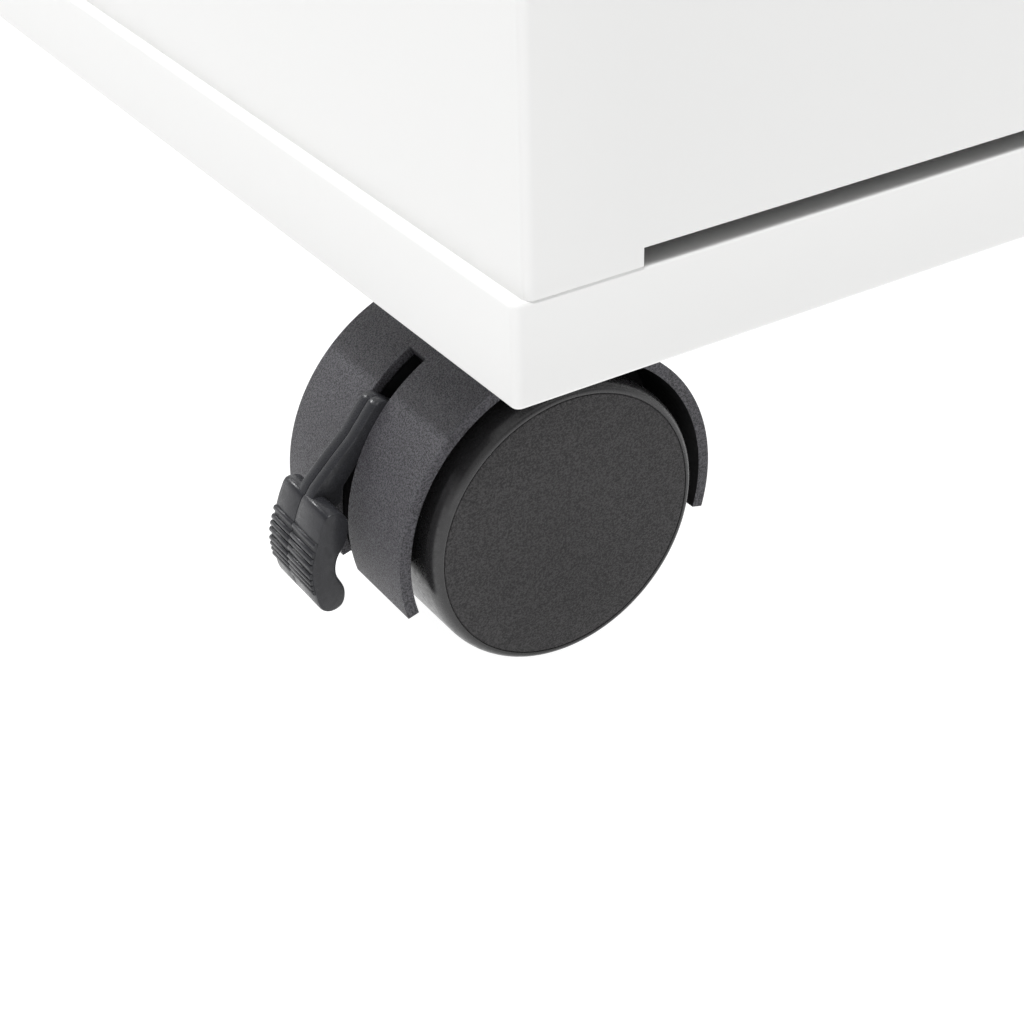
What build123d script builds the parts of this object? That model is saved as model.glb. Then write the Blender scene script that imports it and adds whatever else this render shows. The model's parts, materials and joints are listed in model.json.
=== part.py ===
"""Three-drawer steel filing pedestal on four braked twin-wheel casters.

Frame: millimetres, +Z up, origin on the floor under the middle of the cabinet.
The drawers open towards -Y, the plain back faces +Y.
"""
from build123d import *
import math
import os

os.makedirs("parts", exist_ok=True)

# Cabinet
width = 390.0            # over the base pan and the top cap
depth = 500.0
height = 600.0
base_gap = 64.0          # floor to the channels that carry the casters
rim_drop = 0.7           # the base pan's rim hangs below those channels
rim_height = 16.2        # base pan and top cap are equally deep
side_inset = 2.1         # the body sides stand back from the rims
pan_sheet = 1.0
body_sheet = 0.8
pan_corner = 1.4         # vertical corners of the pans
pan_edge = 0.7           # rounded upper and lower rims
lip = 12.0               # lip turned in along a pan's open side
bend = 1.4               # outside bend radius of the body corners
front_setback = 1.5      # drawer fronts stand back from the rims by this
body_setback = 1.0       # and the body's front returns by this much more
stile = 14.0             # width of the body's front returns
stile_return = 10.0
leg_width = 19.2         # the back sheet stands on a leg at each corner
leg_rise = 2.8           # height of the slot between the legs
leg_radius = 0.6

# Frame inside the body
channel_sheet = 1.5
channel_width = 38.0
channel_end_gap = 2.0    # from the pan's lips
upright_width = 30.0
upright_sheet = 1.2
upright_inset = 20.0     # from the slides' ends to an upright's middle
upright_top_gap = 1.0

# Drawers, top to bottom
rail_height = 28.0
gap = 3.0
small_front = 100.0
front_depth = 20.0
front_sheet = 1.0
front_face_edge = 1.5
front_corner = 1.0
box_sheet = 0.9
box_half = 163.0
tray_corner = 2.5        # the small drawers' pressed trays
folded_corner = 1.5      # the file drawer's folded box
box_above_bottom = 8.0   # drawer box above the lower edge of its front
box_below_top = 14.0     # and below the upper edge
drawer_back = 225.0

# Slides
slide_space = 12.7
slide_height = 35.0
slide_sheet = 1.2
slide_play = 0.4
slide_setback = 12.0     # behind the drawer fronts
slide_past_drawer = 3.0
slide_highest = 60.0     # a slide's middle is at most this far up its front
cabinet_rail_gap = 3.0   # from a rail's open side to the drawer box
middle_rail_gap = 2.0
drawer_rail_short = 6.0

# Recessed pulls
pull_width = 112.0
pull_height = 34.0
pull_wall = 2.0
pull_flange = 3.5
pull_depth = 17.0
pull_corner = 6.0
pull_inner_corner = 1.5
pull_below_top = 14.0

# Lock
lock_x = 150.0
lock_radius = 7.0
barrel_length = 24.0
barrel_recess = 0.4      # the barrel's face lies this far inside its bezel
keyway_width = 1.6
keyway_height = 8.0
keyway_depth = 16.0
sleeve_radius = 9.0
bezel_radius = 11.5
running = 0.05
crank = 8.0
crank_angle = -45.0
crank_pin = 2.5
crank_pin_length = 4.0
cam_hub = 6.0
cam_end = 4.0
cam_sheet = 2.0
catch_width = 5.5
catch_sheet = 1.5
catch_length = 16.0
catch_overlap = 6.0      # along the front's side wall
catch_lip = 8.0
catch_lip_setback = 8.5
catch_above_slide = 26.0
finger_drop = 13.0       # the bar's fingers rest this far below the catches
finger_tall = 7.0
finger_gap = 6.0         # from a finger's tip to the drawer box
bar_width = 8.0
bar_sheet = 2.0
bar_from_opening = 5.0
bar_above_pan = 10.0
yoke_gap = 0.6           # from the cam's face to the yoke
yoke_half = 6.0
yoke_past_pin = 9.0
yoke_slot = 13.0
yoke_slot_shift = 1.2
yoke_slot_play = 1.2

# Casters
wheel_radius = 25.0
trail = 18.4             # stem to axle
stem_to_side = 40.9
stem_to_end = 41.5
hood_outer = 29.8
hood_wall = 2.0
hood_half = 18.4
hood_drop = 8.0          # the hood ends this far below the axle
web_half = 5.0
web_inset = 0.5          # the web lies this far inside the hood's outer face
axle_boss = 9.0
collar_radius = 8.0
collar_bottom = 48.0
swivel_gap = 1.0         # from the collar to the base pan
stem_bore_bottom = 20.0
stem_bottom = 20.5
stem_radius = 3.5
stem_flange = 7.5
stem_flange_sheet = 0.7
thread_radius = 4.0
thread_length = 12.0
nut_radius = 7.0
nut_height = 6.5
wheel_inner_face = 5.4
wheel_outer_face = 20.9
wheel_hub = 8.0
wheel_web = 3.0
wheel_rim_inner = 21.0
wheel_inner_edge = 0.4
tread_edge = 17.9
disc_radius = 23.1
groove = 0.4
axle_radius = 3.0
axle_half = 16.5
axle_end_gap = 0.5
axle_chamfer = 0.4

# Brake levers
lever_shift = 0.6        # slot and arm sit slightly off the caster's middle plane
slot_half = 2.45
slot_angle = 62.0        # the slot begins this far above the horizontal
slot_floor = 11.0        # the lever's pocket comes this near to the axle
arm_half = 2.2
pedal_shift = -0.2
pedal_half = 7.3
pivot_x = 15.0           # lever pivot, from the axle
pivot_z = 12.0
pivot_boss = 4.0
trunnion = 2.0
trunnion_reach = 1.5     # into each wall of the pocket

# Worked out from the sizes above
half_w = width / 2
half_d = depth / 2
pan_bottom = base_gap - rim_drop
pan_top = pan_bottom + rim_height
channel_height = pan_top - pan_sheet - base_gap
cap_bottom = height - rim_height
body_half = half_w - side_inset
body_inner = body_half - body_sheet
opening_half = body_half - stile
front_half = opening_half - gap
front_y = -half_d + front_setback
front_back_y = front_y + front_depth
body_front_y = front_y + body_setback
rail_bottom = cap_bottom - rail_height
file_front = rail_bottom - pan_top - 2 * small_front - 4 * gap
slide_face = box_half + slide_space
slide_front_y = front_back_y + slide_setback
slide_back_y = drawer_back + slide_past_drawer
channel_half = half_w - lip - channel_end_gap
lock_z = rail_bottom + rail_height / 2
cam_y = front_y + barrel_length
pin_x = lock_x + crank * math.cos(math.radians(crank_angle))
pin_z = lock_z + crank * math.sin(math.radians(crank_angle))
bar_x = opening_half + bar_from_opening
bar_side = bar_x + bar_width / 2
bar_y = front_back_y + bar_sheet
bar_bottom = pan_top + bar_above_pan
yoke_y = cam_y + cam_sheet + yoke_gap
axle_z = wheel_radius
hood_cut = axle_z - hood_drop
stem_x = half_w - stem_to_side
stem_y = half_d - stem_to_end

drawers = {
    "upper": (rail_bottom - gap - small_front, small_front),
    "middle": (rail_bottom - 2 * gap - 2 * small_front, small_front),
    "file": (pan_top + gap, file_front),
}
corners = {
    "front_left": (-1, -1),
    "front_right": (1, -1),
    "rear_left": (-1, 1),
    "rear_right": (1, 1),
}
hands = {"left": -1, "right": 1}
low_middle = (Align.CENTER, Align.CENTER, Align.MIN)
low_front = (Align.CENTER, Align.MIN, Align.MIN)


def slide_middle(bottom, tall):
    return bottom + min(tall / 2, slide_highest)


def catch_height(bottom, tall):
    return slide_middle(bottom, tall) + slide_height / 2 + catch_above_slide


def save(item, name):
    item.part.label = name
    export_step(item.part, f"parts/{name}.step")


# ---------------------------------------------------------------- cabinet body

def rim_pan(name, z_low, hollow_low):
    """A shallow pan: a plate with four turned edges and a lip along its open side."""
    with BuildPart() as pan:
        with BuildSketch(Plane.XY.offset(z_low)):
            RectangleRounded(width, depth, pan_corner)
        extrude(amount=rim_height)
        fillet(pan.faces().sort_by(Axis.Z)[0].edges(), pan_edge)
        fillet(pan.faces().sort_by(Axis.Z)[-1].edges(), pan_edge)
        with BuildSketch(Plane.XY.offset(hollow_low)):
            RectangleRounded(width - 2 * pan_sheet, depth - 2 * pan_sheet, pan_corner - pan_sheet)
        extrude(amount=rim_height - 2 * pan_sheet, mode=Mode.SUBTRACT)
        with BuildSketch(Plane.XY.offset(z_low)):
            RectangleRounded(width - 2 * lip, depth - 2 * lip, pan_corner)
        extrude(amount=2 * pan_sheet, mode=Mode.SUBTRACT)
    save(pan, name)


rim_pan("base_pan", pan_bottom, pan_bottom + pan_sheet)
rim_pan("top_cap", cap_bottom, cap_bottom + pan_sheet)

for end, side in (("front", -1), ("rear", 1)):
    with BuildPart() as channel:
        with Locations((0, side * stem_y, base_gap)):
            Box(2 * channel_half, channel_width, channel_height, align=low_middle)
        with Locations((0, side * stem_y, base_gap + channel_sheet)):
            Box(2 * channel_half, channel_width - 2 * channel_sheet, channel_height,
                align=low_middle, mode=Mode.SUBTRACT)
        with Locations((stem_x, side * stem_y, base_gap), (-stem_x, side * stem_y, base_gap)):
            Cylinder(thread_radius + 4 * running, 4 * channel_sheet, mode=Mode.SUBTRACT)
    save(channel, f"base_channel_{end}")

with BuildPart() as shell:
    # one sheet bent round the back, both sides and the two front returns
    with BuildSketch(Plane.XY.offset(pan_top)):
        with BuildLine():
            FilletPolyline(
                (opening_half, body_front_y + stile_return),
                (opening_half, body_front_y),
                (body_half, body_front_y),
                (body_half, half_d),
                (-body_half, half_d),
                (-body_half, body_front_y),
                (-opening_half, body_front_y),
                (-opening_half, body_front_y + stile_return),
                radius=bend,
            )
            offset(amount=-body_sheet, side=Side.LEFT, closed=True)
        make_face()
    extrude(amount=cap_bottom - pan_top)
    with BuildSketch(Plane.XZ.offset(-half_d - body_sheet)):
        with Locations((0, pan_top)):
            RectangleRounded(2 * (body_half - leg_width), 2 * leg_rise, leg_radius)
    extrude(amount=3 * body_sheet, mode=Mode.SUBTRACT)
save(shell, "body_shell")

with BuildPart() as rail:
    with Locations((0, front_y, rail_bottom)):
        Box(2 * opening_half, front_depth, rail_height, align=low_front)
        with Locations((0, front_sheet, front_sheet)):
            Box(2 * opening_half, front_depth, rail_height - 2 * front_sheet,
                align=low_front, mode=Mode.SUBTRACT)
    with Locations(Location((lock_x, front_y, lock_z), (90, 0, 0))):
        Cylinder(sleeve_radius, 4 * front_sheet, mode=Mode.SUBTRACT)
save(rail, "front_rail")

upright_span = body_inner - slide_face
for end, y_mid in (("front", slide_front_y + upright_inset), ("rear", slide_back_y - upright_inset)):
    for hand, side in hands.items():
        x_mid = side * (slide_face + body_inner) / 2
        with BuildPart() as upright:
            with Locations((x_mid, y_mid, pan_top)):
                Box(upright_span, upright_width, cap_bottom - pan_top - upright_top_gap,
                    align=low_middle)
            with Locations((x_mid + side * upright_sheet, y_mid, pan_top)):
                Box(upright_span, upright_width - 2 * upright_sheet, cap_bottom - pan_top,
                    align=low_middle, mode=Mode.SUBTRACT)
        save(upright, f"upright_{end}_{hand}")

# ---------------------------------------------------------------- drawer slides


def channel_rail(name, side, x_web, x_open, z_mid, tall, y_to):
    """A C rail: an upright web at x_web with two flanges reaching to x_open."""
    x_mid = side * (x_web + x_open) / 2
    reach = abs(x_open - x_web)
    towards = side if x_open > x_web else -side
    with BuildPart() as part:
        with Locations((x_mid, slide_front_y, z_mid)):
            Box(reach, y_to - slide_front_y, tall, align=(Align.CENTER, Align.MIN, Align.CENTER))
        with Locations((x_mid + towards * slide_sheet, slide_front_y, z_mid)):
            Box(reach, y_to - slide_front_y, tall - 2 * slide_sheet,
                align=(Align.CENTER, Align.MIN, Align.CENTER), mode=Mode.SUBTRACT)
    save(part, name)


rail_step = slide_sheet + slide_play      # one rail nests inside the next by this much
for level, (bottom, tall) in drawers.items():
    z_mid = slide_middle(bottom, tall)
    nested = 2 if level == "file" else 1
    for hand, side in hands.items():
        channel_rail(f"{level}_cabinet_slide_{hand}", side, slide_face, box_half + cabinet_rail_gap,
                     z_mid, slide_height, slide_back_y)
        if level == "file":
            channel_rail(f"{level}_middle_slide_{hand}", side, slide_face - rail_step,
                         box_half + middle_rail_gap, z_mid, slide_height - 2 * rail_step, slide_back_y)
        channel_rail(f"{level}_drawer_slide_{hand}", side, box_half, slide_face - nested * rail_step,
                     z_mid, slide_height - 2 * nested * rail_step, slide_back_y - drawer_rail_short)

# ---------------------------------------------------------------- drawers


def drawer_front(name, bottom, tall, pull_z):
    """A folded steel front with a cut-out for its pull and a catch for the lock bar."""
    catch_x = front_half - front_sheet / 2
    catch_z = catch_height(bottom, tall)
    with BuildPart() as front:
        with Locations((0, front_y, bottom)):
            Box(2 * front_half, front_depth, tall, align=low_front)
        fillet(front.faces().sort_by(Axis.Y)[0].edges(), front_face_edge)
        fillet(front.edges().filter_by(Axis.Y), front_corner)
        with Locations((0, front_y + front_sheet, bottom + front_sheet)):
            Box(2 * (front_half - front_sheet), front_depth, tall - 2 * front_sheet,
                align=low_front, mode=Mode.SUBTRACT)
        with BuildSketch(Plane.XZ.offset(-front_y - 2 * front_sheet)):
            with Locations((0, pull_z)):
                RectangleRounded(pull_width - 2 * pull_flange, pull_height - 2 * pull_flange,
                                 pull_corner - pull_flange)
        extrude(amount=4 * front_sheet, mode=Mode.SUBTRACT)
        # catch: a tab with a lip turned down behind the bar's finger
        with Locations((catch_x, front_back_y - catch_overlap, catch_z)):
            Box(catch_width, catch_length, catch_sheet, align=(Align.MAX, Align.MIN, Align.MIN))
        with Locations((catch_x, front_back_y + catch_lip_setback, catch_z)):
            Box(catch_width, catch_sheet, catch_lip, align=(Align.MAX, Align.MIN, Align.MAX))
    save(front, name)


def folded_box(name, bottom, tall):
    """An open steel box behind the front, folded and welded, square inside."""
    box_bottom = bottom + box_above_bottom
    box_top = bottom + tall - box_below_top
    with BuildPart() as box:
        with Locations((0, front_back_y, box_bottom)):
            Box(2 * box_half, drawer_back - front_back_y, box_top - box_bottom, align=low_front)
        fillet(box.edges().filter_by(Axis.Z), folded_corner)
        with Locations((0, front_back_y + box_sheet, box_bottom + box_sheet)):
            Box(2 * (box_half - box_sheet), drawer_back - front_back_y - 2 * box_sheet, tall,
                align=low_front, mode=Mode.SUBTRACT)
    save(box, name)


def pressed_tray(name, bottom, tall):
    """An open steel tray behind the front, with corners rounded inside and out."""
    tray_bottom = bottom + box_above_bottom
    tray_top = bottom + tall - box_below_top
    tray_length = drawer_back - front_back_y
    tray_middle_y = (drawer_back + front_back_y) / 2
    with BuildPart() as tray:
        with BuildSketch(Plane.XY.offset(tray_bottom)):
            with Locations((0, tray_middle_y)):
                RectangleRounded(2 * box_half, tray_length, tray_corner)
        extrude(amount=tray_top - tray_bottom)
        with BuildSketch(Plane.XY.offset(tray_bottom + box_sheet)):
            with Locations((0, tray_middle_y)):
                RectangleRounded(2 * (box_half - box_sheet), tray_length - 2 * box_sheet,
                                 tray_corner - box_sheet)
        extrude(amount=tall, mode=Mode.SUBTRACT)
    save(tray, name)


def drawer_pull(name, pull_z):
    """A flanged cup let into the drawer front."""
    with BuildPart() as pull:
        with BuildSketch(Plane.XZ.offset(-front_y)):
            with Locations((0, pull_z)):
                RectangleRounded(pull_width, pull_height, pull_corner)
        extrude(amount=front_setback)
        with BuildSketch(Plane.XZ.offset(-front_y)):
            with Locations((0, pull_z)):
                RectangleRounded(pull_width - 2 * pull_flange, pull_height - 2 * pull_flange,
                                 pull_corner - pull_flange)
        extrude(amount=-pull_depth)
        with BuildSketch(Plane.XZ.offset(-front_y + front_setback)):
            with Locations((0, pull_z)):
                RectangleRounded(pull_width - 2 * pull_flange - 2 * pull_wall,
                                 pull_height - 2 * pull_flange - 2 * pull_wall, pull_inner_corner)
        extrude(amount=-(pull_depth + front_setback - pull_wall), mode=Mode.SUBTRACT)
    save(pull, name)


for level, (bottom, tall) in drawers.items():
    pull_z = bottom + tall - pull_below_top - pull_height / 2
    drawer_front(f"{level}_drawer_front", bottom, tall, pull_z)
    if level == "file":
        folded_box(f"{level}_drawer_box", bottom, tall)
    else:
        pressed_tray(f"{level}_drawer_box", bottom, tall)
    drawer_pull(f"{level}_drawer_pull", pull_z)

# ---------------------------------------------------------------- lock

with BuildPart() as sleeve:
    with BuildSketch(Plane.XZ.offset(-front_y)):
        with Locations((lock_x, lock_z)):
            Circle(bezel_radius)
    extrude(amount=front_setback)
    with BuildSketch(Plane.XZ.offset(-front_y)):
        with Locations((lock_x, lock_z)):
            Circle(sleeve_radius)
    extrude(amount=-barrel_length)
    with BuildSketch(Plane.XZ.offset(-front_y + front_setback)):
        with Locations((lock_x, lock_z)):
            Circle(lock_radius + running)
    extrude(amount=-(barrel_length + front_setback), mode=Mode.SUBTRACT)
save(sleeve, "lock_sleeve")

barrel_face = Plane.XZ.offset(-front_y + front_setback - barrel_recess)
with BuildPart() as barrel:
    with BuildSketch(barrel_face):
        with Locations((lock_x, lock_z)):
            Circle(lock_radius)
    extrude(amount=-(barrel_length + front_setback - barrel_recess))
    with BuildSketch(barrel_face):
        with Locations((lock_x, lock_z)):
            Rectangle(keyway_width, keyway_height)
    extrude(amount=-keyway_depth, mode=Mode.SUBTRACT)
save(barrel, "lock_cylinder")

with BuildPart() as cam:
    with BuildSketch(Plane.XZ.offset(-cam_y)):
        with Locations((lock_x, lock_z)):
            Circle(cam_hub)
        with Locations((pin_x, pin_z)):
            Circle(cam_end)
        with Locations(((lock_x + pin_x) / 2, (lock_z + pin_z) / 2)):
            Rectangle(crank, 2 * cam_end, rotation=crank_angle)
    extrude(amount=-cam_sheet)
    with BuildSketch(Plane.XZ.offset(-cam_y - cam_sheet)):
        with Locations((pin_x, pin_z)):
            Circle(crank_pin)
    extrude(amount=-crank_pin_length)
save(cam, "lock_cam")

with BuildPart() as bar:
    with Locations((bar_x, bar_y, bar_bottom)):
        Box(bar_width, bar_sheet, pin_z + yoke_half - bar_bottom, align=low_front)
    for bottom, tall in drawers.values():
        with Locations((bar_side, bar_y, catch_height(bottom, tall) - finger_drop)):
            Box(bar_side - box_half - finger_gap, bar_sheet, finger_tall,
                align=(Align.MAX, Align.MIN, Align.MAX))
    # yoke: the bar's top is joggled back and reaches over to the cam's pin
    with Locations((bar_side, bar_y, pin_z - yoke_half)):
        Box(bar_sheet, yoke_y + bar_sheet - bar_y, 2 * yoke_half,
            align=(Align.MAX, Align.MIN, Align.MIN))
    with Locations((bar_side, yoke_y, pin_z - yoke_half)):
        Box(bar_side - pin_x + yoke_past_pin, bar_sheet, 2 * yoke_half,
            align=(Align.MAX, Align.MIN, Align.MIN))
    with BuildSketch(Plane.XZ.offset(-yoke_y + bar_sheet / 2)):
        with Locations((pin_x + yoke_slot_shift, pin_z)):
            SlotOverall(yoke_slot, 2 * crank_pin + yoke_slot_play)
    extrude(amount=-2 * bar_sheet, mode=Mode.SUBTRACT)
save(bar, "lock_bar")

# ---------------------------------------------------------------- casters


def side_plane(x_side, y_side, shift=0.0):
    """Caster side view: x runs from the stem to the axle, y is height, z is the axle's line."""
    origin = (x_side * stem_x, y_side * stem_y - x_side * shift, 0)
    return Plane(origin=origin, x_dir=(x_side, 0, 0), z_dir=(0, -x_side, 0))


def from_axle(x, z):
    """A point of the side view, given from the axle."""
    return (trail + x, axle_z + z)


def caster_housing(name, x_side, y_side):
    """Hood, web between the wheels and collar, with a slot for the brake lever."""
    angle = math.radians(slot_angle)
    slot_far = 2 * hood_outer
    stem_spot = (x_side * stem_x, y_side * stem_y)
    with BuildPart() as housing:
        with BuildSketch(side_plane(x_side, y_side, -hood_half)):
            with Locations(from_axle(0, 0)):
                Circle(hood_outer)
                Circle(hood_outer - hood_wall, mode=Mode.SUBTRACT)
            with Locations(from_axle(0, -hood_drop)):
                Rectangle(3 * hood_outer, hood_outer, align=(Align.CENTER, Align.MAX), mode=Mode.SUBTRACT)
        extrude(amount=2 * hood_half)
        with BuildSketch(side_plane(x_side, y_side, -web_half)):
            with Locations(from_axle(0, 0)):
                Circle(hood_outer - web_inset)
            with Locations(from_axle(0, -hood_drop)):
                Rectangle(3 * hood_outer, hood_outer, align=(Align.CENTER, Align.MAX), mode=Mode.SUBTRACT)
            with Locations(from_axle(0, 0)):
                Circle(axle_boss)
        extrude(amount=2 * web_half)
        with BuildSketch(Plane.XY.offset(hood_cut)):
            with Locations(stem_spot):
                Circle(web_half)
        extrude(amount=base_gap - swivel_gap - hood_cut)
        with BuildSketch(Plane.XY.offset(collar_bottom)):
            with Locations(stem_spot):
                Circle(collar_radius)
        extrude(amount=base_gap - swivel_gap - collar_bottom)
        # slot and pocket for the brake lever
        with BuildSketch(side_plane(x_side, y_side, lever_shift - slot_half)):
            with BuildLine():
                Polyline(
                    from_axle(slot_floor * math.cos(angle), slot_floor * math.sin(angle)),
                    from_axle(slot_far * math.cos(angle), slot_far * math.sin(angle)),
                    from_axle(slot_far, 0),
                    from_axle(slot_far, -2 * hood_drop),
                    from_axle(slot_floor, -2 * hood_drop),
                    from_axle(slot_floor, 0),
                    close=True,
                )
            make_face()
        extrude(amount=2 * slot_half, mode=Mode.SUBTRACT)
        # bores: stem, axle, lever trunnions
        with BuildSketch(Plane.XY.offset(stem_bore_bottom)):
            with Locations(stem_spot):
                Circle(stem_radius + running)
        extrude(amount=base_gap, mode=Mode.SUBTRACT)
        with BuildSketch(side_plane(x_side, y_side, -2 * web_half)):
            with Locations(from_axle(0, 0)):
                Circle(axle_radius)
            with Locations(from_axle(pivot_x, pivot_z)):
                Circle(trunnion + running)
        extrude(amount=4 * web_half, mode=Mode.SUBTRACT)
    save(housing, name)


def caster_wheel(name, x_side, y_side, face):
    """One wheel of a pair; face is 1 or -1, the side of the caster's middle plane it is on."""
    centre = (x_side * (stem_x + trail), y_side * stem_y, axle_z)
    bore = axle_radius + running
    web_face = wheel_outer_face - wheel_web
    with BuildPart() as wheel:
        with BuildSketch(Plane(origin=centre, x_dir=(0, 0, 1), z_dir=(x_side, 0, 0))):
            with BuildLine():
                Polyline(
                    (bore, face * wheel_inner_face),
                    (wheel_hub, face * wheel_inner_face),
                    (wheel_hub, face * web_face),
                    (wheel_rim_inner, face * web_face),
                    (wheel_rim_inner, face * wheel_inner_face),
                    (wheel_radius - wheel_inner_edge, face * wheel_inner_face),
                    (wheel_radius, face * (wheel_inner_face + wheel_inner_edge)),
                    (wheel_radius, face * tread_edge),
                )
                TangentArc((wheel_radius, face * tread_edge),
                           (disc_radius + groove, face * wheel_outer_face), tangent=(0, face))
                Polyline(
                    (disc_radius + groove, face * wheel_outer_face),
                    (disc_radius + groove / 2, face * (wheel_outer_face - groove)),
                    (disc_radius, face * wheel_outer_face),
                    (0, face * wheel_outer_face),
                    (0, face * (axle_half + axle_end_gap)),
                    (bore, face * (axle_half + axle_end_gap)),
                    (bore, face * wheel_inner_face),
                )
            make_face()
        revolve(axis=Axis(centre, (0, 1, 0)))
    save(wheel, name)


def caster_lever(name, x_side, y_side):
    """Brake lever: a pedal outside the hood on an arm that reaches in to its pivot."""
    with BuildPart() as lever:
        with BuildSketch(side_plane(x_side, y_side, pedal_shift - pedal_half)):
            with BuildLine():
                Spline(
                    from_axle(34.4, 8.3), from_axle(32.2, 5.0), from_axle(34.2, 0.9),
                    from_axle(35.2, -2.6), from_axle(33.8, -7.6), from_axle(35.9, -9.9),
                    from_axle(38.4, -9.0), from_axle(39.9, -3.5), from_axle(39.3, 1.6),
                    from_axle(37.2, 6.1),
                    periodic=True,
                )
            make_face()
        extrude(amount=2 * pedal_half)
        with BuildSketch(side_plane(x_side, y_side, lever_shift - arm_half)):
            with BuildLine():
                Polyline(
                    from_axle(37.6, 4.0), from_axle(24.6, 19.4), from_axle(22.4, 20.6),
                    from_axle(20.2, 20.0), from_axle(11.6, 13.6), from_axle(12.6, 9.2),
                    from_axle(16.4, 8.4), from_axle(22.0, 16.0), from_axle(26.0, 13.6),
                    from_axle(30.8, 7.6), from_axle(33.4, 5.0),
                    close=True,
                )
            make_face()
            with Locations(from_axle(pivot_x, pivot_z)):
                Circle(pivot_boss)
        extrude(amount=2 * arm_half)
        with BuildSketch(side_plane(x_side, y_side, lever_shift - slot_half - trunnion_reach)):
            with Locations(from_axle(pivot_x, pivot_z)):
                Circle(trunnion)
        extrude(amount=2 * (slot_half + trunnion_reach))
    save(lever, name)


def caster_axle(name, x_side, y_side):
    with BuildPart() as axle:
        with BuildSketch(side_plane(x_side, y_side, -axle_half)):
            with Locations(from_axle(0, 0)):
                Circle(axle_radius)
        extrude(amount=2 * axle_half)
        chamfer(axle.edges().filter_by(GeomType.CIRCLE), axle_chamfer)
    save(axle, name)


for corner, (x_side, y_side) in corners.items():
    caster_housing(f"{corner}_caster_housing", x_side, y_side)
    caster_axle(f"{corner}_caster_axle", x_side, y_side)
    caster_wheel(f"{corner}_wheel_outer", x_side, y_side, -x_side * y_side)
    caster_wheel(f"{corner}_wheel_inner", x_side, y_side, x_side * y_side)
    caster_lever(f"{corner}_brake_lever", x_side, y_side)

stem_spots = [(x_side * stem_x, y_side * stem_y, 0) for x_side, y_side in corners.values()]
with BuildPart() as stems:
    with BuildSketch(Plane.XY.offset(stem_bottom)):
        with Locations(*stem_spots):
            Circle(stem_radius)
    extrude(amount=base_gap - stem_flange_sheet - stem_bottom)
    with BuildSketch(Plane.XY.offset(base_gap - stem_flange_sheet)):
        with Locations(*stem_spots):
            RegularPolygon(stem_flange, 6)
    extrude(amount=stem_flange_sheet)
    with BuildSketch(Plane.XY.offset(base_gap)):
        with Locations(*stem_spots):
            Circle(thread_radius)
    extrude(amount=thread_length)
save(stems, "caster_stems")

with BuildPart() as nuts:
    with BuildSketch(Plane.XY.offset(base_gap + channel_sheet)):
        with Locations(*stem_spots):
            RegularPolygon(nut_radius, 6)
            Circle(thread_radius, mode=Mode.SUBTRACT)
    extrude(amount=nut_height)
save(nuts, "caster_nuts")
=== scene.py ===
import json
import math

import bmesh
import bpy
from mathutils import Matrix, Vector


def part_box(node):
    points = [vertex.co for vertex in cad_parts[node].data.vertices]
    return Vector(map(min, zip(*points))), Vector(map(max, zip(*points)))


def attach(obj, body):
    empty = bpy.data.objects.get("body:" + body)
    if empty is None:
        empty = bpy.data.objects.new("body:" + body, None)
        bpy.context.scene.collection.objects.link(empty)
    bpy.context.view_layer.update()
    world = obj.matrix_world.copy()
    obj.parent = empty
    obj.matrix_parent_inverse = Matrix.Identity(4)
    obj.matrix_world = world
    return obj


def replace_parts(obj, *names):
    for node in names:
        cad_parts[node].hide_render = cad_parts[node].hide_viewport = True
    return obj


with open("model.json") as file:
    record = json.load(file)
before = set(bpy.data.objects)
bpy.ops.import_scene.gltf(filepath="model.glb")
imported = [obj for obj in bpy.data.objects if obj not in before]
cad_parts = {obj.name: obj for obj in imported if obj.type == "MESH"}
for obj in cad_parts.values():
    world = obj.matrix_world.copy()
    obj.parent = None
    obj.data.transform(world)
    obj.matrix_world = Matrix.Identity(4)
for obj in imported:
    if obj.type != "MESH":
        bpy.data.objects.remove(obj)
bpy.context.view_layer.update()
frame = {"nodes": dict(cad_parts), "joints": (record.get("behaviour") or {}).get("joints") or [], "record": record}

MM = 0.001

# ------------------------------------------------------------------ places read from the frame
pan_low, pan_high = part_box("base_pan")
cap_low, cap_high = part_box("top_cap")
shell_low, shell_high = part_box("body_shell")
joints = {j["name"]: j for j in frame["joints"]}
CORNERS = {
    "front_left": (-1, -1),
    "front_right": (1, -1),
    "rear_left": (-1, 1),
    "rear_right": (1, 1),
}

# ------------------------------------------------------------------ shape sizes, in millimetres
PAN_CORNER = 1.4
PAN_EDGE = 0.7
PAN_SHEET = 1.0
PAN_LIP = 12.0
PLATE_RING = PAN_EDGE * 14       # the flat middle of a pan's plate starts this far in
EDGE_RING = PAN_EDGE * 2         # and a ring this far in keeps the rolled edge crisp
LEAST_CORNER = 0.4
EDGE_STEPS = 5
BODY_SHEET = 0.8
BODY_BEND = 1.4
LEG_WIDTH = 19.2
LEG_RISE = 2.8
STILE = 14.0
STILE_RETURN = 10.0
BEND_STEPS = 8
BODY_SOFTENING = 0.28

WHEEL_R = 25.0
DISC_R = 23.1
GROOVE = 0.4
TREAD_EDGE = 17.9
WHEEL_FACE = 20.9
WHEEL_INNER = 5.4
HUB_R = 8.0
BORE_R = 3.05
BORE_END = 17.0
RECESS_END = 17.2                # the hollow between hub and rim, open to the hood's middle
RECESS_R = 21.2
SHOULDER_STEPS = 10
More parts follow.
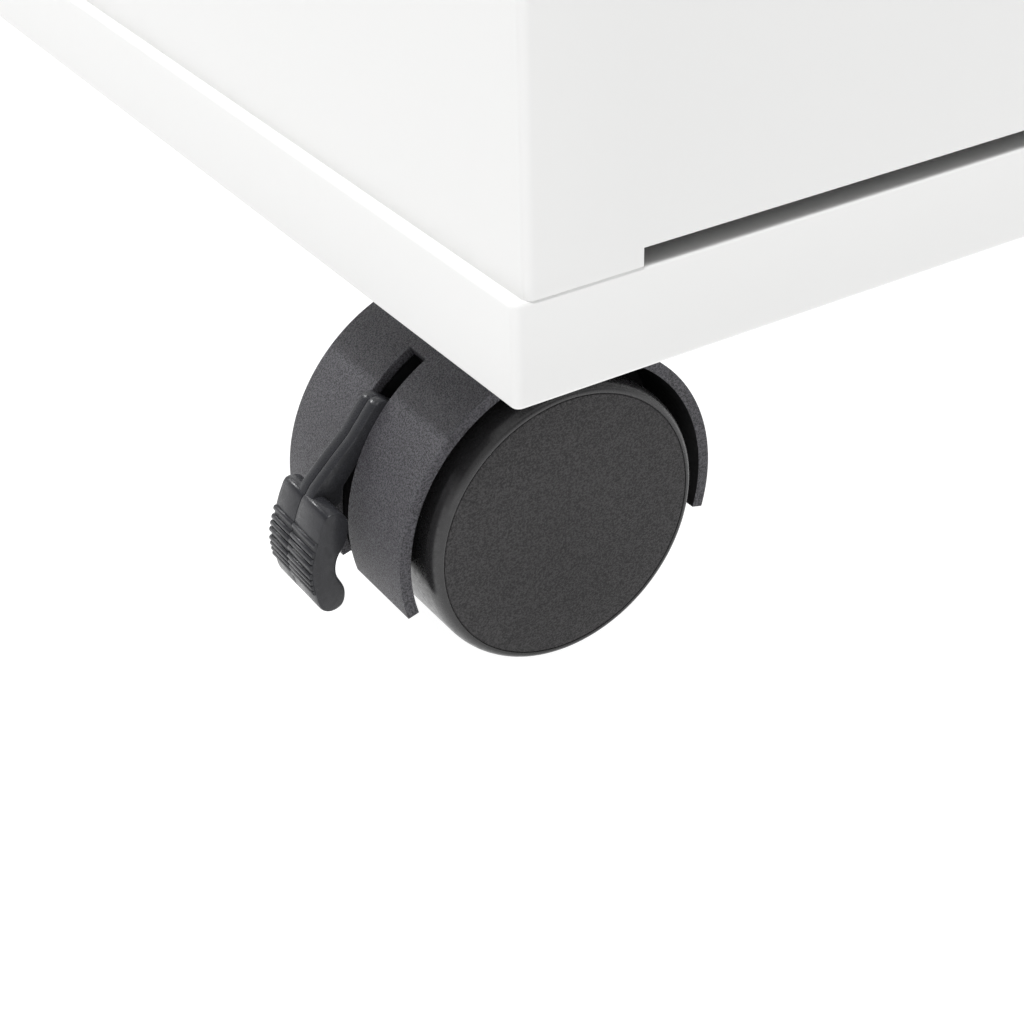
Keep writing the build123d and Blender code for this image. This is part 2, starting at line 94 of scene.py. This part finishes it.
# (out from the disc's edge, out from the wheel's face) down one side of the groove and up the other
GROOVE_OUTSIDE = ((0.24, -0.06), (0.18, -0.22))
GROOVE_INSIDE = ((0.18, -0.22), (0.1, -0.22), (0.02, -0.06), (-0.15, 0.0))
DISC_RINGS = (16.0, 8.0, 1.0)
HOOD_R = 29.8
HOOD_WALL = 2.0
HOOD_HALF = 18.4
HOOD_DROP = 8.0
WEB_HALF = 5.0
SLOT_LOW, SLOT_HIGH = -1.85, 3.05
SLOT_TOP = 118.0
COLLAR_R = 8.0
HOOD_SOFTENING = 0.35
SPINE_OVERLAP = 0.3              # the spine reaches this far into the hood's wall
SPINE_STEPS = 60
FILLER_STEPS = 50
AXLE_CLEARANCE = HOOD_DROP + 1.0
AXLE_ARC = 62.0                  # the spine's lower edge passes round the axle, in degrees
POCKET_ARC = 40.0
POCKET_R = 11.0
# (radius, height above the floor) up the stem's boss and collar
NECK = ((5.0, 17.0), (5.0, 46.5), (7.4, 48.0), (COLLAR_R, 49.0), (COLLAR_R, 62.4), (7.4, 63.0))
ARM_LOW, ARM_HIGH = -1.75, 2.85
PEDAL_LOW, PEDAL_HIGH = -7.5, 7.1
PARTING = 0.5
SEAM = 0.05
# (outwards from the axle, above the axle) round the pedal and along the arm
PEDAL_OUTLINE = [(35.8, 7.9), (33.5, 7.6), (32.3, 5.3), (33.0, 2.3), (34.8, -0.6), (35.1, -3.4),
                 (33.9, -6.6), (34.5, -9.2), (36.6, -9.95), (38.4, -8.8), (39.2, -5.4),
                 (39.4, -1.2), (38.2, 3.0), (37.1, 5.9)]
ARM_TIP = (22.3, 19.4, 1.9, 150.0, 40.0, 8)      # centre, radius, first and last angle, steps
ARM_OUTLINE = [(27.6, 15.9), (30.9, 12.9), (34.8, 9.2), (36.3, 7.0), (35.4, 4.4), (32.2, 4.4),
               (30.4, 5.8), (29.9, 8.4), (26.4, 12.6), (22.8, 16.2), (16.4, 8.4), (12.6, 9.2),
               (11.6, 13.6)]
RIBS = 8
RIB_TOP = 2.8
RIB_PITCH = 1.2
RIB_HEIGHT = 0.42
RIB_SIDE = 36.4          # ribs stand only on the pedal's outer side, beyond this
RIB_FOOT = 0.92          # a rib's foot and its crown, as shares of the pitch
RIB_CROWN = 0.86
RIB_ROOT = 0.3
RIB_END = 0.25
SOFT_OUTER = 0.5         # softened ends of the pedal and of the arm
SOFT_ARM = 0.3
SOFT_SEAM = 0.12
HOOD_COLUMNS = (6.0, 12.0)
HOOD_STEPS = 120
WHEEL_TURNS = 180
NECK_TURNS = 48

CAD_SMOOTH_ANGLE = 30.0          # degrees
FRONT_SOFTENING = 0.3
FRAME_SOFTENING = 0.15

# studio: the sky's tones, and the heights (as a share of straight up) between which it fades
WHITE_SKY = (1.0, 1.0, 1.0)
DIM_SKY = (0.05, 0.05, 0.05)
SKY_FADE = (0.12, 0.40)
FLOOR_HALF = 60.0        # metres
FLOOR_DARKER = (0.24, 0.24, 0.24)
FLOOR_LIGHTER = (0.26, 0.26, 0.26)
FLOOR_GLOW = 0.97
# name, direction towards the light, strength, width in degrees
SUNS = (
    ("overhead", (0.13, 0.06, 1.0), 2.6, 5.0),
    ("front_kicker", (0.2, -0.8, 0.55), 0.65, 10.0),
    ("rear_fill", (0.54, 0.68, 0.5), 0.42, 60.0),
)
LENS = 68.94
SENSOR = 36.0
CAMERA_ANGLES = (148.12, 33.12, 1.48)      # azimuth, elevation and roll, in degrees
CAMERA_FROM_CORNER = (123.3, 196.6, 119.1)


# ------------------------------------------------------------------ mesh helpers

def make_object(name, bm, materials=(), smooth_angle=35.0):
    mesh = bpy.data.meshes.new(name)
    bmesh.ops.recalc_face_normals(bm, faces=bm.faces)
    bm.to_mesh(mesh)
    bm.free()
    obj = bpy.data.objects.new(name, mesh)
    bpy.context.scene.collection.objects.link(obj)
    for material in materials:
        mesh.materials.append(material)
    shade(obj, smooth_angle)
    return obj


def shade(obj, angle=35.0):
    for polygon in obj.data.polygons:
        polygon.use_smooth = True
    obj.data.set_sharp_from_angle(angle=math.radians(angle))


def bevel(obj, width, segments=3, angle=35.0):
    mod = obj.modifiers.new("edges", "BEVEL")
    mod.width = width * MM
    mod.segments = segments
    mod.limit_method = "ANGLE"
    mod.angle_limit = math.radians(angle)
    mod.use_clamp_overlap = True
    mod.harden_normals = False


def bridge(bm, loops, cap_first=False, cap_last=False, slot=0):
    """Joins closed rings of equal length with quads; a ring is a list of points."""
    rings = [[bm.verts.new(p) for p in ring] for ring in loops]
    count = len(rings[0])
    for low, high in zip(rings, rings[1:]):
        for i in range(count):
            j = (i + 1) % count
            bm.faces.new((low[i], low[j], high[j], high[i])).material_index = slot
    if cap_first:
        bm.faces.new(rings[0]).material_index = slot
    if cap_last:
        bm.faces.new(rings[-1]).material_index = slot


def rounded_rect(half_x, half_y, radius, steps=8):
    """Points of a rounded rectangle about the origin, anticlockwise, in millimetres."""
    points = []
    for sx, sy, start in ((1, 1, 0), (-1, 1, 90), (-1, -1, 180), (1, -1, 270)):
        cx, cy = sx * (half_x - radius), sy * (half_y - radius)
        for i in range(steps + 1):
            a = math.radians(start + 90.0 * i / steps)
            points.append((cx + radius * math.cos(a), cy + radius * math.sin(a)))
    return points


def extrude_outline(bm, outline, low, high, place, soft_low=0.0, soft_high=0.0):
    """A closed prism of an outline (x, z in mm) between two depths, with optional softened ends."""
    count = len(outline)
    turn = sum(outline[i - 1][0] * outline[i][1] - outline[i][0] * outline[i - 1][1]
               for i in range(count))
    inward = 1.0 if turn > 0 else -1.0

    def ring(inset, depth):
        points = []
        for i, (x, z) in enumerate(outline):
            (bx, bz), (cx, cz) = outline[i - 1], outline[(i + 1) % count]
            before = Vector((x - bx, z - bz)).normalized()
            after = Vector((cx - x, cz - z)).normalized()
            along = before + after
            if along.length < 1e-6:
                along = before
            along.normalize()
            reach = inset / max(0.5, along.dot(after))
            points.append(place(x - inward * along.y * reach, z + inward * along.x * reach, depth))
        return points

    stages = []
    if soft_low:
        stages += [(soft_low, low), (0.3 * soft_low, low + 0.3 * soft_low)]
    stages += [(0.0, low + soft_low), (0.0, high - soft_high)]
    if soft_high:
        stages += [(0.3 * soft_high, high - 0.3 * soft_high), (soft_high, high)]
    bridge(bm, [ring(inset, depth) for inset, depth in stages], cap_first=True, cap_last=True)


# ------------------------------------------------------------------ materials

def node_material(name):
    material = bpy.data.materials.new(name)
    material.use_nodes = True
    nodes, links = material.node_tree.nodes, material.node_tree.links
    shader = nodes["Principled BSDF"]
    coords = nodes.new("ShaderNodeTexCoord")
    return material, nodes, links, shader, coords


def noise(nodes, links, coords, scale, detail=2.0, roughness=0.5):
    node = nodes.new("ShaderNodeTexNoise")
    node.inputs["Scale"].default_value = scale
    node.inputs["Detail"].default_value = detail
    node.inputs["Roughness"].default_value = roughness
    links.new(coords.outputs["Object"], node.inputs["Vector"])
    return node.outputs["Fac"]


def ramp(nodes, links, value, low, high, position=(0.35, 0.65)):
    node = nodes.new("ShaderNodeValToRGB")
    node.color_ramp.elements[0].position = position[0]
    node.color_ramp.elements[1].position = position[1]
    node.color_ramp.elements[0].color = (*low, 1.0)
    node.color_ramp.elements[1].color = (*high, 1.0)
    links.new(value, node.inputs["Fac"])
    return node.outputs["Color"]


def span(nodes, links, value, low, high):
    node = nodes.new("ShaderNodeMapRange")
    node.inputs["From Min"].default_value = 0.3
    node.inputs["From Max"].default_value = 0.7
    node.inputs["To Min"].default_value = low
    node.inputs["To Max"].default_value = high
    links.new(value, node.inputs["Value"])
    return node.outputs["Result"]


def bump(nodes, links, shader, heights):
    """Chains bump nodes: heights is a list of (value, strength, distance in mm)."""
    last = None
    for value, strength, distance in heights:
        node = nodes.new("ShaderNodeBump")
        node.inputs["Strength"].default_value = strength
        node.inputs["Distance"].default_value = distance * MM
        links.new(value, node.inputs["Height"])
        if last:
            links.new(last, node.inputs["Normal"])
        last = node.outputs["Normal"]
    links.new(last, shader.inputs["Normal"])


def powder_coat(name, tint, rough=0.42):
    """Sprayed and baked coat: faint orange peel, very slight change of tone and gloss."""
    material, nodes, links, shader, coords = node_material(name)
    broad = noise(nodes, links, coords, 6.0, 3.0)
    peel = noise(nodes, links, coords, 900.0, 2.0)
    fine = noise(nodes, links, coords, 3500.0, 1.0)
    darker = tuple(c * 0.985 for c in tint)
    links.new(ramp(nodes, links, broad, darker, tint), shader.inputs["Base Color"])
    links.new(span(nodes, links, peel, rough - 0.03, rough + 0.05), shader.inputs["Roughness"])
    shader.inputs["IOR"].default_value = 1.5
    bump(nodes, links, shader, [(peel, 0.06, 0.05), (fine, 0.04, 0.02)])
    return material


def moulded_plastic(name, tint, rough, grain_size, grain_depth, glint_spread, gloss):
    """Moulded black plastic: spark-eroded grain of the given size in mm; its crests are painted paler and its
    hollows darker, a painted highlight for the glints the grain catches.
    """
    material, nodes, links, shader, coords = node_material(name)
    scale = 1.0 / (grain_size * MM)
    grain = noise(nodes, links, coords, scale, 3.0, 0.6)
    fine = noise(nodes, links, coords, 2.7 * scale, 2.0)
    broad = noise(nodes, links, coords, 45.0, 3.0)
    # the grain's crests are painted paler than its hollows: painted glints standing in for the light the grain
    # catches
    low = tuple(c * (1.0 - glint_spread) for c in tint)
    high = tuple(min(1.0, c * (1.0 + glint_spread)) for c in tint)
    mix = nodes.new("ShaderNodeMix")
    mix.data_type = "RGBA"
    mix.blend_type = "MULTIPLY"
    mix.inputs["Factor"].default_value = 0.5
    links.new(ramp(nodes, links, grain, low, high, (0.41, 0.59)), mix.inputs["A"])
    links.new(ramp(nodes, links, broad, (0.8, 0.8, 0.8), (1, 1, 1)), mix.inputs["B"])
    links.new(mix.outputs["Result"], shader.inputs["Base Color"])
    links.new(span(nodes, links, grain, rough + 0.08, rough - 0.08), shader.inputs["Roughness"])
    shader.inputs["IOR"].default_value = 1.5
    shader.inputs["Specular IOR Level"].default_value = gloss
    bump(nodes, links, shader, [(grain, 0.8, grain_depth), (fine, 0.4, grain_depth * 0.4)])
    return material


def metal(name, tint, rough, stretch=(1.0, 1.0, 1.0)):
    """Plated or drawn steel: fine streaks, slight staining."""
    material, nodes, links, shader, coords = node_material(name)
    mapping = nodes.new("ShaderNodeMapping")
    mapping.inputs["Scale"].default_value = stretch
    links.new(coords.outputs["Object"], mapping.inputs["Vector"])
    streak = nodes.new("ShaderNodeTexNoise")
    streak.inputs["Scale"].default_value = 700.0
    streak.inputs["Detail"].default_value = 4.0
    links.new(mapping.outputs["Vector"], streak.inputs["Vector"])
    stain = noise(nodes, links, coords, 60.0, 4.0)
    darker = tuple(c * 0.94 for c in tint)
    links.new(ramp(nodes, links, stain, darker, tint), shader.inputs["Base Color"])
    links.new(span(nodes, links, streak.outputs["Fac"], rough - 0.06, rough + 0.1),
              shader.inputs["Roughness"])
    shader.inputs["Metallic"].default_value = 1.0
    bump(nodes, links, shader, [(streak.outputs["Fac"], 0.15, 0.02)])
    return material


WHITE = powder_coat("white_powder_coat", (0.845, 0.845, 0.838))
BOX_WHITE = powder_coat("inner_powder_coat", (0.80, 0.80, 0.79), 0.5)
FRAME_WHITE = powder_coat("frame_powder_coat", (0.74, 0.74, 0.73), 0.5)
ZINC = metal("bright_zinc", (0.66, 0.67, 0.69), 0.32, (1.0, 0.06, 1.0))
STEEL = metal("plated_steel", (0.60, 0.60, 0.60), 0.35)
CHROME = metal("lock_chrome", (0.80, 0.80, 0.81), 0.12)
PULL = moulded_plastic("pull_plastic", (0.72, 0.72, 0.71), 0.5, 0.35, 0.03, 0.03, 0.5)
HOOD_GRAIN = moulded_plastic("hood_grain", (0.072, 0.070, 0.079), 0.45, 0.25, 0.5, 0.6, 0.38)
# The hood's inside and its spine: the hood's own plastic painted far darker, painted shade for the shadow under
# the hood.
HOOD_SHADED_INSIDE = moulded_plastic("hood_inside_shade", (0.012, 0.012, 0.0125), 0.6, 0.9, 0.01, 0.12, 0.1)
DISC_GRAIN = moulded_plastic("disc_grain", (0.036, 0.0345, 0.0355), 0.5, 0.30, 0.3, 0.5, 0.25)
SMOOTH_BLACK = moulded_plastic("smooth_black", (0.024, 0.0235, 0.0245), 0.28, 0.9, 0.01, 0.12, 0.5)
LEVER_BLACK = moulded_plastic("lever_black", (0.027, 0.0275, 0.031), 0.3, 0.7, 0.015, 0.15, 0.33)

SLOT_MATERIAL = {
    "white_paint": WHITE,
    "box_paint": BOX_WHITE,
    "frame_paint": FRAME_WHITE,
    "slide_zinc": ZINC,
    "pull_plastic": PULL,
    "lock_chrome": CHROME,
    "plated_steel": STEEL,
    "caster_nylon": HOOD_GRAIN,
    "wheel_nylon": SMOOTH_BLACK,
    "lever_nylon": LEVER_BLACK,
}

for row in frame["record"]["subparts"]:
    node = frame["nodes"][row["node"]]
    node.data.materials.clear()
    node.data.materials.append(SLOT_MATERIAL[row["material_slot"]])


# ------------------------------------------------------------------ base pan and top cap

def pan(name, low, high):
    """A pan with a rolled rim, built ring by ring from its plate down to the lip under it."""
    half_x, half_y = (high.x - low.x) / 2 / MM, (high.y - low.y) / 2 / MM
    deep = (high.z - low.z) / MM
    # (inset from the outline, height above the open side)
    profile = [(PLATE_RING, deep), (EDGE_RING, deep)]
    profile += [(PAN_EDGE * (1 - math.sin(a)), deep - PAN_EDGE * (1 - math.cos(a)))
                for a in (math.radians(90.0 * i / EDGE_STEPS) for i in range(EDGE_STEPS + 1))]
    profile += [(PAN_EDGE * (1 - math.cos(a)), PAN_EDGE * (1 - math.sin(a)))
                for a in (math.radians(90.0 * i / EDGE_STEPS) for i in range(EDGE_STEPS + 1))]
    profile += [(PAN_LIP, 0.0), (PAN_LIP, PAN_SHEET), (PAN_SHEET, PAN_SHEET),
                (PAN_SHEET, deep - PAN_SHEET), (PLATE_RING, deep - PAN_SHEET)]
    bm = bmesh.new()
    loops = []
    for inset, up in profile:
        radius = max(LEAST_CORNER, PAN_CORNER - inset)
        loops.append([(x * MM, y * MM, low.z + up * MM) for x, y in
                      rounded_rect(half_x - inset, half_y - inset, radius)])
    bridge(bm, loops, cap_first=True, cap_last=True)
    obj = make_object(name, bm, [WHITE], 50.0)
    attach(obj, "cabinet")
    return obj


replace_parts(pan("base_rim", pan_low, pan_high), "base_pan")
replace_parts(pan("top_rim", cap_low, cap_high), "top_cap")


# ------------------------------------------------------------------ body shell

def body_shell():
    """One sheet bent round the back, both sides and the front returns; legs under the back."""
    x, front, back = shell_high.x / MM, shell_low.y / MM, shell_high.y / MM
    z0, z1 = shell_low.z / MM, shell_high.z / MM
    inner = BODY_BEND - BODY_SHEET
    corners = [(x - STILE, front + STILE_RETURN, 0), (x - STILE, front, inner), (x, front, BODY_BEND),
               (x, back, BODY_BEND), (-x, back, BODY_BEND), (-x, front, BODY_BEND),
               (-(x - STILE), front, inner), (-(x - STILE), front + STILE_RETURN, 0)]
    path = []
    for i, (px, py, radius) in enumerate(corners):
        if not radius:
            path.append((px, py))
            continue
        before = (Vector(corners[i - 1][:2]) - Vector((px, py))).normalized()
        after = (Vector(corners[i + 1][:2]) - Vector((px, py))).normalized()
        centre = Vector((px, py)) + (before + after) * radius
        for k in range(BEND_STEPS + 1):
            a = math.radians(90.0 * k / BEND_STEPS)
            point = centre - after * radius * math.cos(a) - before * radius * math.sin(a)
            path.append((point.x, point.y))
    # extra columns where the legs end
    edge = x - LEG_WIDTH
    spot = next(i for i in range(len(path) - 1)
                if path[i][1] > back - 0.01 and path[i][0] > edge > path[i + 1][0])
    path[spot + 1:spot + 1] = [(edge, back), (-edge, back)]
    levels = [z0, z0 + LEG_RISE, z1]
    bm = bmesh.new()
    grid = [[bm.verts.new((px * MM, py * MM, z * MM)) for px, py in path] for z in levels]
    for row in range(len(levels) - 1):
        for i in range(len(path) - 1):
            if row == 0 and i == spot + 1:
                continue
            bm.faces.new((grid[row][i], grid[row][i + 1], grid[row + 1][i + 1], grid[row + 1][i]))
    # the outside stays on the path, and the sheet thickens inwards
    obj = make_object("body_wrap", bm, [WHITE], 40.0)
    solid = obj.modifiers.new("sheet", "SOLIDIFY")
    solid.thickness = BODY_SHEET * MM
    solid.offset = -1.0
    solid.use_even_offset = True
    bevel(obj, BODY_SOFTENING, 3, 60.0)
    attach(obj, "cabinet")
    return obj


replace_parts(body_shell(), "body_shell")


# ------------------------------------------------------------------ casters

def caster_place(corner):
    """Maps (x from the stem outwards, z from the floor, w across the caster) to the row frame."""
    x_side = CORNERS[corner][0]
    stem = Vector(joints[f"{corner}_swivel"]["pos_m"])

    def place(x, z, w):
        return (stem.x + x_side * x * MM, stem.y - x_side * w * MM, z * MM)

    return place


def axle_spot(corner):
    x_side = CORNERS[corner][0]
    axle = Vector(joints[f"{corner}_outer_wheel_roll"]["pos_m"])
    stem = Vector(joints[f"{corner}_swivel"]["pos_m"])
    return x_side * (axle.x - stem.x) / MM, axle.z / MM


def wheel(corner, side_name, face):
    """A turned wheel with a hollow back; the grained disc lies inside a fine groove."""
    place = caster_place(corner)
    ax, az = axle_spot(corner)
    shoulder = [(WHEEL_R - (WHEEL_R - DISC_R - GROOVE) * (1 - math.cos(a)),
                 TREAD_EDGE + (WHEEL_FACE - TREAD_EDGE) * math.sin(a))
                for a in (math.radians(90.0 * i / SHOULDER_STEPS)
                          for i in range(1, SHOULDER_STEPS + 1))]
    smooth = [(BORE_R, BORE_END), (BORE_R, WHEEL_INNER), (HUB_R, WHEEL_INNER), (HUB_R, RECESS_END),
              (RECESS_R, RECESS_END), (RECESS_R, WHEEL_INNER), (WHEEL_R - 0.5, WHEEL_INNER),
              (WHEEL_R - 0.12, WHEEL_INNER + 0.15), (WHEEL_R, WHEEL_INNER + 0.5),
              (WHEEL_R, TREAD_EDGE)] + shoulder
    smooth += [(DISC_R + out, WHEEL_FACE + up) for out, up in GROOVE_OUTSIDE]
    grained = [(DISC_R + out, WHEEL_FACE + up) for out, up in GROOVE_INSIDE]
    grained += [(radius, WHEEL_FACE) for radius in DISC_RINGS]
    bm = bmesh.new()
    for slot, profile in ((0, smooth), (1, grained)):
        loops = []
        for r, w in profile:
            loops.append([place(ax + r * math.cos(t), az + r * math.sin(t), face * w)
                          for t in (2 * math.pi * i / WHEEL_TURNS for i in range(WHEEL_TURNS))])
        bridge(bm, loops, slot=slot, cap_first=slot == 0, cap_last=slot == 1)
    bmesh.ops.remove_doubles(bm, verts=bm.verts, dist=1e-6)
    obj = make_object(f"{corner}_wheel_{side_name}_detail", bm, [SMOOTH_BLACK, DISC_GRAIN], 40.0)
    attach(obj, f"{corner}_{side_name}_wheel")
    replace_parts(obj, f"{corner}_wheel_{side_name}")


def arc(cx, cz, radius, start, end, steps):
    return [(cx + radius * math.cos(math.radians(start + (end - start) * i / steps)),
             cz + radius * math.sin(math.radians(start + (end - start) * i / steps)))
            for i in range(steps + 1)]


def housing(corner):
    """The hood over both wheels, and the spine between them that carries axle and stem."""
    place = caster_place(corner)
    ax, az = axle_spot(corner)
    low_angle = -math.degrees(math.asin(HOOD_DROP / HOOD_R))
    bm = bmesh.new()
    # hood: a curved sheet with the lever's slot left open down to its outer edge
    angles = [low_angle + (180 - 2 * low_angle) * i / HOOD_STEPS for i in range(HOOD_STEPS + 1)]
    angles = sorted(set(angles + [180.0 - SLOT_TOP]))
    near, far = HOOD_COLUMNS
    widths = [-HOOD_HALF, -far, -near, SLOT_LOW, SLOT_HIGH, near, far, HOOD_HALF]
    grid = [[bm.verts.new(place(ax + HOOD_R * math.cos(math.radians(a)),
                                az + HOOD_R * math.sin(math.radians(a)), w)) for w in widths]
            for a in angles]
    slot_column = widths.index(SLOT_LOW)
    for i in range(len(angles) - 1):
        for j in range(len(widths) - 1):
            if j == slot_column and angles[i + 1] <= 180.0 - SLOT_TOP + 1e-6:
                continue
            bm.faces.new((grid[i][j], grid[i][j + 1], grid[i + 1][j + 1], grid[i + 1][j]))
    hood = make_object(f"{corner}_hood", bm, [HOOD_GRAIN, HOOD_SHADED_INSIDE], 40.0)
    solid = hood.modifiers.new("wall", "SOLIDIFY")
    solid.thickness = HOOD_WALL * MM
    solid.offset = -1.0
    solid.use_even_offset = True
    # the inner face takes the darker inside colour, which is painted shade
    solid.material_offset = 1
    solid.material_offset_rim = 0
    bevel(hood, HOOD_SOFTENING, 3, 50.0)
    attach(hood, f"{corner}_caster")
    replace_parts(hood, f"{corner}_caster_housing")

    # spine between the wheels, split by the lever's pocket, and the stem's boss
    bm = bmesh.new()
    reach = HOOD_R - HOOD_WALL + SPINE_OVERLAP
    low = -math.degrees(math.asin(HOOD_DROP / reach))
    spine = arc(ax, az, reach, low, 180 - low, SPINE_STEPS)
    spine += arc(ax, az, AXLE_CLEARANCE, 180 + AXLE_ARC, 360 - AXLE_ARC, 12)
    filler = arc(ax, az, reach, 180.0 - SLOT_TOP, 180 - low, FILLER_STEPS)
    filler += arc(ax, az, AXLE_CLEARANCE, 180 + AXLE_ARC, 360 - POCKET_ARC, 12)
    filler += arc(ax, az, POCKET_R, 0.0, 180.0 - SLOT_TOP, 8)
    for outline, w0, w1 in ((spine, -WEB_HALF, SLOT_LOW), (filler, SLOT_LOW, SLOT_HIGH),
                            (spine, SLOT_HIGH, WEB_HALF)):
        extrude_outline(bm, outline, w0, w1, place)
    bridge(bm, [[place(r * math.cos(t), z, r * math.sin(t))
                 for t in (2 * math.pi * i / NECK_TURNS for i in range(NECK_TURNS))] for r, z in NECK],
           cap_first=True, cap_last=True)
    # the spine is painted with the same painted shade as the hood's inside
    core = make_object(f"{corner}_hood_spine", bm, [HOOD_SHADED_INSIDE], 40.0)
    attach(core, f"{corner}_caster")


def smooth_loop(points, steps=8):
    """A closed smooth curve through the points."""
    curve = []
    count = len(points)
    for i in range(count):
        p0, p1, p2, p3 = (Vector(points[(i + k) % count]) for k in (-1, 0, 1, 2))
        for k in range(steps):
            t = k / steps
            curve.append(tuple(0.5 * (2 * p1 + (p2 - p0) * t + (2 * p0 - 5 * p1 + 4 * p2 - p3) * t * t
                                      + (3 * p1 - p0 - 3 * p2 + p3) * t ** 3)))
    return curve


def lever(corner):
    """The brake lever, moulded in two halves that meet at a fine seam, with a ribbed pedal."""
    place = caster_place(corner)
    ax, az = axle_spot(corner)
    pedal = smooth_loop(PEDAL_OUTLINE)
    arm = arc(*ARM_TIP) + ARM_OUTLINE
    bm = bmesh.new()
    for w_from, w_to in ((PEDAL_LOW, PARTING - SEAM), (PARTING + SEAM, PEDAL_HIGH)):
        near = w_from < PARTING
        extrude_outline(bm, [(ax + x, az + z) for x, z in pedal], w_from, w_to, place,
                        soft_low=SOFT_OUTER if near else SOFT_SEAM,
                        soft_high=SOFT_SEAM if near else SOFT_OUTER)
        extrude_outline(bm, [(ax + x, az + z) for x, z in arm], ARM_LOW if near else w_from,
                        w_to if near else ARM_HIGH, place,
                        soft_low=SOFT_ARM if near else SOFT_SEAM,
                        soft_high=SOFT_SEAM if near else SOFT_ARM)
        for i in range(RIBS):
            rib_z = RIB_TOP - RIB_PITCH * i
            k = min((k for k in range(len(pedal)) if pedal[k][0] > RIB_SIDE),
                    key=lambda k: abs(pedal[k][1] - rib_z))
            foot, ahead = Vector(pedal[k]), Vector(pedal[(k + 1) % len(pedal)])
            along = (ahead - Vector(pedal[k - 1])).normalized()
            out = Vector((along.y, -along.x))
            if out.x < 0:
                out = -out
            half = 0.5 * RIB_PITCH
            section = [foot - along * half * RIB_FOOT - out * RIB_ROOT,
                       foot + along * half * RIB_FOOT - out * RIB_ROOT]
            section += [foot + along * half * RIB_CROWN * math.cos(math.radians(a))
                        + out * RIB_HEIGHT * math.sin(math.radians(a)) for a in range(10, 180, 20)]
            extrude_outline(bm, [(ax + p.x, az + p.y) for p in section], w_from + (RIB_END if near else 0.0),
                            w_to - (0.0 if near else RIB_END), place,
                            soft_low=SOFT_SEAM, soft_high=SOFT_SEAM)
    obj = make_object(f"{corner}_lever_detail", bm, [LEVER_BLACK], 42.0)
    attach(obj, f"{corner}_brake")
    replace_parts(obj, f"{corner}_brake_lever")


for corner, (x_side, y_side) in CORNERS.items():
    wheel(corner, "outer", -x_side * y_side)
    wheel(corner, "inner", x_side * y_side)
    housing(corner)
    lever(corner)


# ------------------------------------------------------------------ soft edges on the CAD pieces

for name, node in frame["nodes"].items():
    if node.hide_render:
        continue
    shade(node, CAD_SMOOTH_ANGLE)
    if "drawer_front" in name or "drawer_pull" in name or name == "front_rail":
        bevel(node, FRONT_SOFTENING, 2, 40.0)
    elif "slide" in name or "upright" in name or "box" in name:
        bevel(node, FRAME_SOFTENING, 2, 40.0)


# ------------------------------------------------------------------ floor, light and camera

floor_mesh = bmesh.new()
bmesh.ops.create_grid(floor_mesh, x_segments=1, y_segments=1, size=FLOOR_HALF)
floor = make_object("floor", floor_mesh)
floor_material, nodes, links, shader, coords = node_material("studio_floor")
soft_tone = noise(nodes, links, coords, 1.5, 2.0)
links.new(ramp(nodes, links, soft_tone, FLOOR_DARKER, FLOOR_LIGHTER), shader.inputs["Base Color"])
shader.inputs["Roughness"].default_value = 0.8
shader.inputs["Emission Color"].default_value = (1.0, 1.0, 1.0, 1.0)
shader.inputs["Emission Strength"].default_value = FLOOR_GLOW
floor.data.materials.append(floor_material)

scene = bpy.context.scene
world = bpy.data.worlds.new("studio")
scene.world = world
world.use_nodes = True
sky_nodes, sky_links = world.node_tree.nodes, world.node_tree.links
sky_coords = sky_nodes.new("ShaderNodeTexCoord")
sky_split = sky_nodes.new("ShaderNodeSeparateXYZ")
sky_links.new(sky_coords.outputs["Generated"], sky_split.inputs["Vector"])
# white all round near the horizon, where the floor ends, and dim overhead
sky_tone = ramp(sky_nodes, sky_links, sky_split.outputs["Z"], WHITE_SKY, DIM_SKY, SKY_FADE)
sky_links.new(sky_tone, sky_nodes["Background"].inputs["Color"])
sky_nodes["Background"].inputs["Strength"].default_value = 1.0
scene.view_settings.view_transform = "Standard"
scene.view_settings.look = "None"


def sun(name, direction, strength, angle):
    """A distant light shining from the given direction; angle is its width in degrees."""
    light = bpy.data.lights.new(name, "SUN")
    light.energy = strength
    light.angle = math.radians(angle)
    obj = bpy.data.objects.new(name, light)
    obj.rotation_mode = "QUATERNION"
    obj.rotation_quaternion = Vector(direction).normalized().to_track_quat("Z", "Y")
    scene.collection.objects.link(obj)


for light_name, direction, strength, width in SUNS:
    sun(light_name, direction, strength, width)

# The camera looks at the foot of the rear right corner from behind and to the right.
rim_corner = Vector(pan_high)
camera_data = bpy.data.cameras.new("camera")
camera_data.lens = LENS
camera_data.sensor_width = SENSOR
camera_data.clip_start = 0.01
camera_data.clip_end = 50.0
camera = bpy.data.objects.new("camera", camera_data)
azimuth, elevation, roll = (math.radians(a) for a in CAMERA_ANGLES)
back = Vector((math.sin(azimuth) * math.cos(elevation),
               -math.cos(azimuth) * math.cos(elevation), math.sin(elevation)))
right = Vector((math.cos(azimuth), math.sin(azimuth), 0.0))
up = back.cross(right)
turned_right = right * math.cos(roll) - up * math.sin(roll)
turned_up = right * math.sin(roll) + up * math.cos(roll)
camera.matrix_world = Matrix.Translation(rim_corner + Vector(CAMERA_FROM_CORNER) * MM) @ Matrix(
    (turned_right, turned_up, back)).transposed().to_4x4()
scene.collection.objects.link(camera)
scene.camera = camera
